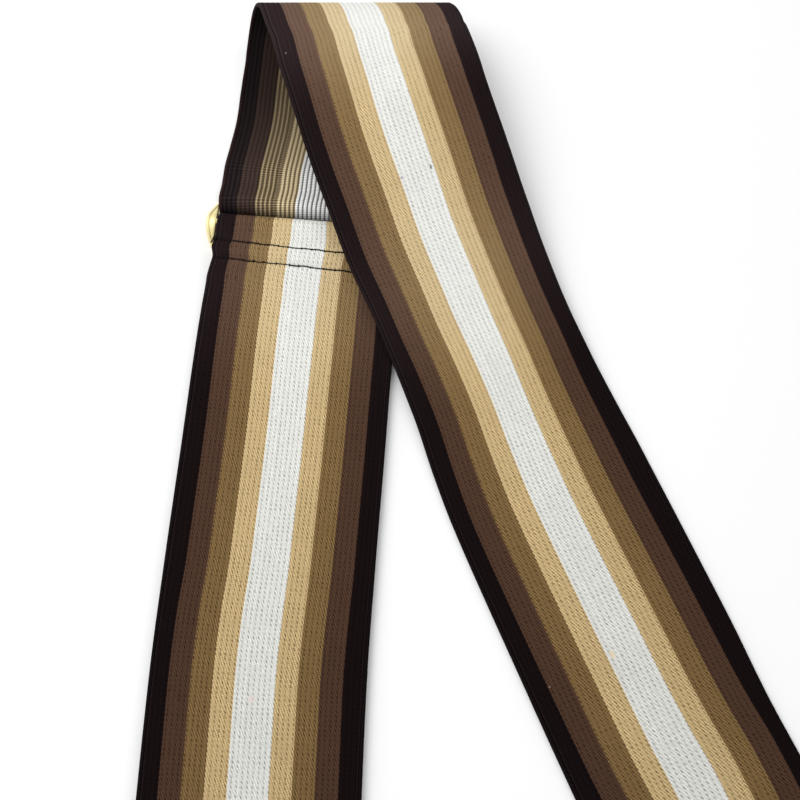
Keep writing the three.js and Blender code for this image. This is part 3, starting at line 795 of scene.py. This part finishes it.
hatch_line = wave(face_ribs * hatch_turns["line_across"] + face_rows * hatch_turns["line_along"])
hatch_tick = wave(face_ribs * hatch_turns["tick_across"] + face_rows * hatch_turns["tick_along"])
hatch = hatch_line * (hatch_tick * hatch_tone["tick_share"] + (1.0 - hatch_tone["tick_share"]))
hatch_patch = spread(noise(face_place, hatch_patches["scale"]), hatch_patches["start"], hatch_patches["end"],
                     hatch_patches["faintest"], hatch_patches["clearest"])
hatch_share = by_stripe(face_stripe, hatch_shares) * hatch_patch * (not_pulled * hatch_tone["strength"])
hatch_shade = (hatch_tone["middle"] - hatch) * hatch_share + 1.0
cross_wave = wave(face_rows + face_ribs * face_weave["cross_slant"], face_weave["cross_threads"])
cross_shade = shade_of(cross_wave, face_weave["cross_contrast"])
column_shade = shade_of(face_pattern["Column Tone"], face_weave["column_contrast"])
# Painted shade: the face is darkened low on the legs, where the light fades.
out_of_painted_shade = 1.0 - cloth_fact(face_tree, "face_painted_shade")
face_shade = cross_shade * column_shade * (hatch_shade * face_fibres["Shade"]) * out_of_painted_shade
face_colour = with_painted_falloff(scaled_colour(face_colour, face_shade))

# Small marks on the face: two specks of dirt and a stain on the right leg's white stripe, two light
# flecks on its left dark stripe, and a faint mark low on the left leg.
cloth_marks = table(
    "arc across half_width half_length tint strength",
    (0.7789, 0.0055, 0.00045, 0.00105, (62, 66, 62), 0.85),
    (0.7794, -0.0068, 0.00035, 0.00065, (104, 104, 102), 0.8),
    (0.7179, -0.0348, 0.00030, 0.00045, (150, 140, 140), 0.7),
    (0.9736, -0.0306, 0.00030, 0.00045, (140, 130, 128), 0.7),
    (0.9725, -0.0056, 0.00090, 0.00160, (226, 200, 152), 0.6),
    (0.2049, -0.0015, 0.00140, 0.00140, (226, 205, 196), 0.5),
)
for mark in cloth_marks:
    mark_place, mark_along = cloth_place(mark["arc"], mark["across"])
    face_colour = use_group(face_tree, mark_group, Color=face_colour, Place=face_place,
                            Middle=(mark_place * web_width, mark_along, 0.0),
                            Reach=(mark["half_width"], mark["half_length"], 1.0), Tint=linear(mark["tint"]),
                            Strength=mark["strength"])["Color"]
feed(face_shader.inputs["Base Color"], face_colour)

face_height = face_pattern["Rib"] * face_relief["rib"] + cross_wave * face_relief["cross"]
face_height += face_fibres["Height"] * face_relief["fibre"] - dashes * face_relief["dash"]
feed(face_shader.inputs["Normal"], bumped(face_height, cloth_bump, face_relief["depth"]))

# The back: narrow raised ribs with dark furrows between them, partly the yarn's own colour and partly painted
# shade, crossed
# # by fine threads, and one dotted column where the olive and the tan yarns meet. The fold draws it smooth.
back_weave = dict(edge_blur=0.08, ticks=2.1, tick_power=3.0, tick_strength=0.36, cross_contrast=0.54,
                  smooth_ticks=0.25, smooth_ribs=0.34, middle_height=0.5)
back_relief = dict(tick=0.3, depth=0.0002)
dotted_column = dict(place=0.2985, reach=0.0105, blur=0.002, height=0.75)

back_material, back_tree, back_shader = new_material("web_back", **cloth_finish)
back_place, back_across, back_along = weave_place(back_tree)
back_ribs = back_across * (1.0 / rib_pitch) + rib_offset
back_rows = back_along / row_length
back_stripe = back_across / web_width
back_fibres = use_group(back_tree, fibre_group, Place=back_place)
from_back_furrow = use_group(back_tree, weave_group, Ribs_Across=back_ribs)["From Furrow"]
half_furrow = 0.5 - 0.5 * by_stripe(back_stripe, back_rib_shares, "back_end")
back_rib = spread(from_back_furrow, half_furrow - back_weave["edge_blur"],
                  half_furrow + back_weave["edge_blur"], way="SMOOTHSTEP")

smoothness = cloth_fact(back_tree, "back_smoothness")
tick_wave = wave(back_rows, back_weave["ticks"])
ticks = tick_wave ** back_weave["tick_power"] * (smoothness * (back_weave["smooth_ticks"] - 1.0) + 1.0)
back_high = calc("MAXIMUM", back_rib, ticks * back_weave["tick_strength"])
back_high += (back_weave["middle_height"] - back_high) * (smoothness * back_weave["smooth_ribs"])
from_column = calc("ABSOLUTE", back_stripe - dotted_column["place"])
in_column = spread(from_column, dotted_column["reach"] - dotted_column["blur"],
                   dotted_column["reach"] + dotted_column["blur"], 1.0, 0.0)
back_high += (tick_wave * dotted_column["height"] - back_high) * in_column

back_colour = blend_colours(back_high, by_stripe(back_stripe, back_gaps_and_shade, "back_end"),
                            by_stripe(back_stripe, back_yarns, "back_end"))
tick_shade = ticks * back_weave["cross_contrast"] + (1.0 - back_weave["cross_contrast"] / 3)
# Painted shade: the back is darkened under the fold and in a painted shadow just above the sewn end.
back_shade = tick_shade * back_fibres["Shade"] * (1.0 - cloth_fact(back_tree, "back_painted_shade"))
feed(back_shader.inputs["Base Color"], scaled_colour(back_colour, back_shade))
back_height = ticks * back_relief["tick"] + back_high
feed(back_shader.inputs["Normal"], bumped(back_height, cloth_bump, back_relief["depth"]))

# The cut ends: all the yarns' ends packed together.
cut_colour = (150, 132, 104)
cut_roughness = 0.95
cut_fibre_amount = 0.6
cut_material, cut_tree, cut_shader = new_material("web_cut_end", Roughness=cut_roughness)
cut_fibres = use_group(cut_tree, fibre_group, Place=add_node(cut_tree, "TexCoord", "Object"),
                       Amount=cut_fibre_amount)
feed(cut_shader.inputs["Base Color"], scaled_colour(linear(cut_colour), cut_fibres["Shade"]))
for material in (face_material, back_material, cut_material):
    web_mesh.materials.append(material)
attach(web, "root")
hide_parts("webbing")


# The slide: a cast frame with a rounded rim and a flatter inner face, whose cheeks bow out past the web's
# edges and arch over its lower layer, with a round middle bar for the sewn end. It is plated pale gold.

slide_form = dict(half_length=0.0413, half_height=0.0122, end_bow=0.0065, slot_half_length=0.0386,
                  slot_half_height=0.0097, slot_pinch=0.0015, bar_offset=0.0109, arch=0.0047)
cheek_steps = 32
bar_steps = 40
middle_bar_half_length = 0.0376
middle_bar_sides = 24
rim_profile = mm_table(
    "inward height",
    (0.45, 0), (0.18, 0.12), (0.04, 0.4), (0, 0.8), (0.02, 1.4), (0.1, 1.8), (0.26, 2.1), (0.5, 2.3),
    (0.8, 2.38), (1.1, 2.35), (1.32, 2.27), (1.46, 2.14), (1.54, 1.99), (1.63, 2.14), (1.72, 2.2))
inner_profile = mm_table(
    "outward height",
    (0.4, 2.2), (0.22, 2.12), (0.08, 1.92), (0, 1.6), (0, 0.6), (0.06, 0.25), (0.25, 0.04), (0.45, 0))
gold_colours = ((255, 243, 188), (252, 234, 172))
gold_wear = dict(scale=220.0, detail=5.0, smoothest=0.40, roughest=0.56)
gold_grain = dict(scale=1800.0, bump=0.15, depth=0.0001)


def link_mesh(name, vertices, faces):
    """A smooth mesh object."""
    mesh = bpy.data.meshes.new(name)
    mesh.from_pydata([tuple(vertex) for vertex in vertices], [], faces)
    mesh.polygons.foreach_set("use_smooth", [True] * len(faces))
    mesh.update()
    return new_object(name, mesh)


def ring_quads(rings, sides, closed=False):
    """The faces between rings of points, one ring after another, which may close on the first."""
    faces = []
    for i in range(rings if closed else rings - 1):
        a, b = i * sides, (i + 1) % rings * sides
        faces += [(a + j, a + (j + 1) % sides, b + (j + 1) % sides, b + j) for j in range(sides)]
    return faces


def round_tube(points, radii, sides):
    """A closed round tube along points, as vertices and faces."""
    points = [Vector(p) for p in points]
    vertices = []
    for i, point in enumerate(points):
        run = (points[min(i + 1, len(points) - 1)] - points[max(i - 1, 0)]).normalized()
        side = run.orthogonal().normalized() if i == 0 else (side - run * side.dot(run)).normalized()
        up = run.cross(side)
        for j in range(sides):
            angle = 2 * math.pi * j / sides
            vertices.append(point + (side * math.cos(angle) + up * math.sin(angle)) * radii[i])
    last = (len(points) - 1) * sides
    caps = [tuple(reversed(range(sides))), tuple(range(last, last + sides))]
    return vertices, ring_quads(len(points), sides) + caps


def slide_stations():
    """Pairs of points round the frame: one on its outline and one on its opening."""
    form = slide_form
    straight = form["half_length"] - form["end_bow"]
    pairs = []
    for side in (1.0, -1.0):
        for i in range(cheek_steps + 1):
            angle = math.pi * (i / cheek_steps - 0.5)
            outer = Vector((straight + form["end_bow"] * math.cos(angle),
                            form["half_height"] * math.sin(angle)))
            inner = Vector((form["slot_half_length"] - form["slot_pinch"] * math.cos(angle) ** 2,
                            form["slot_half_height"] * math.sin(angle)))
            pairs.append((outer * side, inner * side))
        start, end = pairs[-1], (Vector((-straight, form["half_height"])) * side,
                                 Vector((-form["slot_half_length"], form["slot_half_height"])) * side)
        pairs += [(start[0].lerp(end[0], i / bar_steps), start[1].lerp(end[1], i / bar_steps))
                  for i in range(1, bar_steps)]
    return pairs


def slide_frame():
    """The frame's mesh: its profile carried round the opening, with the cheeks arched."""
    vertices = []
    for outer, inner in slide_stations():
        inward = (inner - outer).normalized()
        places = [(outer + inward * row["inward"], row["height"]) for row in rim_profile]
        places += [(inner - inward * row["outward"], row["height"]) for row in inner_profile]
        for place, height in places:
            share = min(abs(place.y) / slide_form["bar_offset"], 1.0)
            rise = slide_form["arch"] * (1.0 + math.cos(math.pi * share)) / 2
            vertices.append(Vector((place.x, place.y, height + rise)))
    ring = len(rim_profile) + len(inner_profile)
    return vertices, ring_quads(len(vertices) // ring, ring, closed=True)


def joined(parts):
    """Several closed meshes as one."""
    vertices, faces = [], []
    for part_vertices, part_faces in parts:
        start = len(vertices)
        vertices += part_vertices
        faces += [tuple(start + j for j in face) for face in part_faces]
    return vertices, faces


middle_bar_ends = [(side * middle_bar_half_length, 0.0, slide_bar["height"]) for side in (-1.0, 1.0)]
slide_parts = joined([slide_frame(), round_tube(middle_bar_ends, [bar_radius] * 2, middle_bar_sides)])
slide_seat = (Matrix.Translation(scene_middle + Vector((slide_bar["x"], slide_bar["y"], 0.0)))
              @ Matrix.Rotation(math.radians(slide_bar["turn"]), 4, "Z"))
slide = link_mesh("gold_slide", [slide_seat @ vertex for vertex in slide_parts[0]], slide_parts[1])

gold_material, gold_tree, gold_shader = new_material("gold_plate", Metallic=0.75)
gold_place = add_node(gold_tree, "TexCoord", "Object")
worn = noise(gold_place, gold_wear["scale"], gold_wear["detail"])
grain = noise(gold_place, gold_grain["scale"])
feed(gold_shader.inputs["Base Color"], blend_colours(worn, *map(linear, gold_colours)))
feed(gold_shader.inputs["Roughness"], spread(worn, 0.0, 1.0, gold_wear["smoothest"], gold_wear["roughest"]))
feed(gold_shader.inputs["Normal"], bumped(grain, gold_grain["bump"], gold_grain["depth"]))
slide.data.materials.append(gold_material)
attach(slide, "root")
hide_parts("slide")


# The stitches: rows of thick black thread that hold the sewn hems, by hand and a little uneven, with a
# lump where each stitch goes down through the web, and a loose tangle at the left end of the upper row.

thread_radius = 0.00026
thread_sides = 8
stitch_length = 0.0045
stitch_inset = 0.0010
shortest_stitch = 0.3
stitch_points = 9
stitch_form = dict(sunk=0.0002, rise=0.00055, slimmest=0.9, swell=0.35, swell_reach=0.12)
stitch_ranges = dict(length=(0.8, 1.22), wander=(-0.00022, 0.00022), sag=(0.7, 1.1), thickness=(0.85, 1.15))
knot_form = table("along lift swell", (-0.0004, -0.0001, 1.0), (0.0, 0.00022, 1.35), (0.0004, -0.0001, 1.0))
thread_colour = (22, 17, 17)
thread_twist = dict(fineness=6000.0, amount=0.9, bump=0.5, depth=0.00008)
random.seed(12)


def stitch_row(arc, slant):
    """One row of stitches across the web, as tubes."""
    reach = float(np.interp(arc, arc_lengths, widths)) / 2 - stitch_inset
    surface = web_thickness / 2 - crease["depth"]
    tubes = []
    start = -reach
    while start < reach - shortest_stitch * stitch_length:
        end = min(start + stitch_length * random.uniform(*stitch_ranges["length"]), reach)
        wander, sag, thickness = (random.uniform(*stitch_ranges[name])
                                  for name in ("wander", "sag", "thickness"))
        points, radii = [], []
        for t in np.linspace(0.0, 1.0, stitch_points):
            across = start + (end - start) * t
            lift = surface - stitch_form["sunk"] + stitch_form["rise"] * sag * math.sin(math.pi * t) ** 0.5
            drift = wander * math.sin(math.pi * t) + across * math.tan(slant)
            swell = stitch_form["swell"] * math.exp(-((min(t, 1 - t) / stitch_form["swell_reach"]) ** 2))
            points.append(on_web(arc + drift, across, lift))
            radii.append(thread_radius * thickness * (stitch_form["slimmest"] + swell))
        tubes.append(round_tube(points, radii, thread_sides))
        knot_arc = arc + end * math.tan(slant)
        knot = [on_web(knot_arc + row["along"], end, surface + row["lift"]) for row in knot_form]
        tubes.append(round_tube(knot, [row["swell"] * thread_radius for row in knot_form], thread_sides))
        start = end
    return tubes


# The tangle: thread wound over the edge a few times, with one loose end.
tangle_routes = (
    mm_table("along across lift", (-0.2, -35.6, 0.9), (-0.5, -36.3, 1.3), (-0.2, -37, 1.1), (0.4, -37.1, 0.7),
             (0.6, -36.5, 1.2), (0.1, -35.9, 1.4), (-0.4, -36.2, 1.4), (-0.3, -36.8, 1.3), (0.3, -37.3, 0.7)),
    mm_table("along across lift", (0.3, -36.5, 1.3), (0.8, -37.1, 1.1), (1.3, -37.6, 0.6), (1.7, -38, 0.3)),
)
upper_row_arc, upper_row_slant = sewn_arcs[0]
stitch_tubes = []
for sewn_arc, slant in sewn_arcs:
    stitch_tubes += stitch_row(sewn_arc, slant)
for route in tangle_routes:
    tangle = [on_web(upper_row_arc + row["along"] + row["across"] * math.tan(upper_row_slant), row["across"],
                     row["lift"]) for row in route]
    stitch_tubes.append(round_tube(tangle, [thread_radius] * len(tangle), thread_sides))
stitches = link_mesh("stitch_rows", *joined(stitch_tubes))

thread_material, thread_tree, thread_shader = new_material(
    "stitch_thread", Roughness=0.75, Specular_IOR_Level=0.1)
thread_fibres = use_group(thread_tree, fibre_group, Place=add_node(thread_tree, "TexCoord", "Object"),
                          Fineness=thread_twist["fineness"], Amount=thread_twist["amount"])
feed(thread_shader.inputs["Base Color"], scaled_colour(linear(thread_colour), thread_fibres["Shade"]))
feed(thread_shader.inputs["Normal"],
     bumped(thread_fibres["Height"], thread_twist["bump"], thread_twist["depth"]))
stitches.data.materials.append(thread_material)
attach(stitches, "root")


# The two halves of the clasp: plain cast plates with a round bar for the web, plated like the slide, with
# their edges softened by the plating.

clasp_edge_softness = 0.00022
clasp_edge_angle = 40.0
for name in ("clasp_hook", "clasp_loop"):
    clasp_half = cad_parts[name]
    clasp_half.data.materials.clear()
    clasp_half.data.materials.append(gold_material)
    soft_edges = clasp_half.modifiers.new("soft_edges", "BEVEL")
    soft_edges.width = clasp_edge_softness
    soft_edges.segments = 2
    soft_edges.limit_method = "ANGLE"
    soft_edges.angle_limit = math.radians(clasp_edge_angle)
